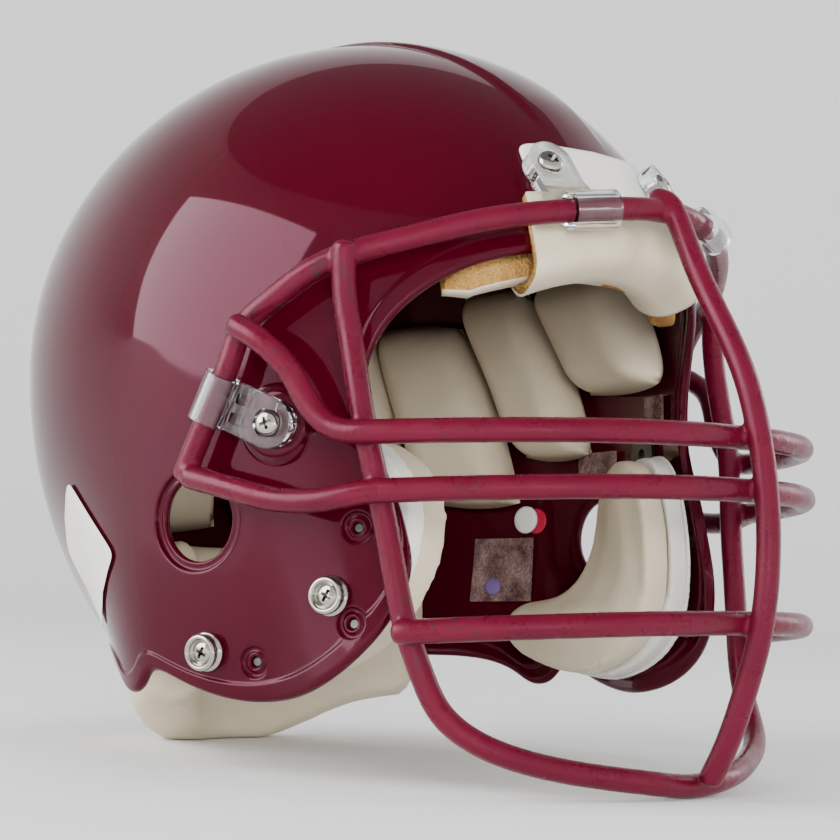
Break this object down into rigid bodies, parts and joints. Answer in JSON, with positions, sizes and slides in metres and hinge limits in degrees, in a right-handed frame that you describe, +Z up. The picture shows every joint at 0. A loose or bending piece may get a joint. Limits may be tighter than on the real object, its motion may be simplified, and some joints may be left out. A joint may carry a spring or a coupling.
{
  "type": "american football helmet",
  "caption": "Glossy moulded sports helmet with a coated wire face cage held by clear clips, snap-in jaw pads, a cushioned liner and a neck pad.",
  "frame": {"origin": "middle of the bounding box at floor level, under the shell", "axes": "-Y to the front of the face, +X to the wearer's left, +Z up; the helmet stands on its neck pad and chin wire, tipped 3.2 degrees nose up"},
  "size_m": [0.2468, 0.3382, 0.2687],
  "materials": {
    "shell_maroon": "very glossy deep maroon polycarbonate with fine scratches",
    "cage_coating": "steel wire with a semi-gloss dark red vinyl coat",
    "clear_clip": "clear moulded polycarbonate",
    "nickel": "bright nickel plate",
    "steel": "plain zinc-plated steel",
    "cream_vinyl": "soft satin cream vinyl over foam",
    "tan_foam": "open tan foam",
    "white_plastic": "satin off-white plastic",
    "hook_tape": "worn dark hook tape"
  },
  "bodies": {
    "helmet": {"shell": "shell_maroon", "cage_perimeter_wire": "cage_coating", "cage_jaw_loop": "cage_coating", "cage_upper_bar": "cage_coating", "cage_middle_bar": "cage_coating", "cage_lower_bar": "cage_coating", "cage_nose_bar": "cage_coating", "side_clip_right": "clear_clip", "side_clip_left": "clear_clip", "top_clip_right": "clear_clip", "top_clip_left": "clear_clip", "side_clip_screw_right": "nickel", "side_clip_screw_left": "nickel", "top_clip_screw_right": "nickel", "top_clip_screw_left": "nickel", "side_clip_nut_right": "steel", "side_clip_nut_left": "steel", "top_clip_nut_right": "steel", "top_clip_nut_left": "steel", "strap_stud_front_right": "nickel", "strap_stud_front_left": "nickel", "strap_stud_screw_front_right": "nickel", "strap_stud_screw_front_left": "nickel", "strap_stud_nut_front_right": "steel", "strap_stud_nut_front_left": "steel", "strap_stud_rear_right": "nickel", "strap_stud_rear_left": "nickel", "strap_stud_screw_rear_right": "nickel", "strap_stud_screw_rear_left": "nickel", "strap_stud_nut_rear_right": "steel", "strap_stud_nut_rear_left": "steel", "jaw_pad_snap_1_right": "steel", "jaw_pad_snap_1_left": "steel", "jaw_pad_snap_2_right": "steel", "jaw_pad_snap_2_left": "steel", "jaw_pad_snap_3_right": "steel", "jaw_pad_snap_3_left": "steel", "liner_cell_back": "cream_vinyl", "liner_crown_cell": "cream_vinyl", "liner_cell_rear_left": "cream_vinyl", "liner_cell_rear_right": "cream_vinyl", "liner_cell_middle_left": "cream_vinyl", "liner_cell_middle_right": "cream_vinyl", "liner_cell_front_left": "cream_vinyl", "liner_cell_front_right": "cream_vinyl", "front_pad_cover": "cream_vinyl", "neck_pad": "cream_vinyl", "front_pad_foam": "tan_foam", "nameplate": "white_plastic", "rear_label": "white_plastic", "hook_tape_front_left": "hook_tape", "hook_tape_upper_left": "hook_tape", "hook_tape_rear_left": "hook_tape", "hook_tape_rear_right": "hook_tape"},
    "right_jaw_pad": {"jaw_pad_right": "cream_vinyl"},
    "left_jaw_pad": {"jaw_pad_left": "cream_vinyl"}
  },
  "joints": [
    {"name": "jaw_pad_right_unsnap", "type": "slide", "parent": "helmet", "child": "right_jaw_pad", "axis": [1, 0, 0], "range_m": [0, 0.03]},
    {"name": "jaw_pad_left_unsnap", "type": "slide", "parent": "helmet", "child": "left_jaw_pad", "axis": [-1, 0, 0], "range_m": [0, 0.03]}
  ]
}
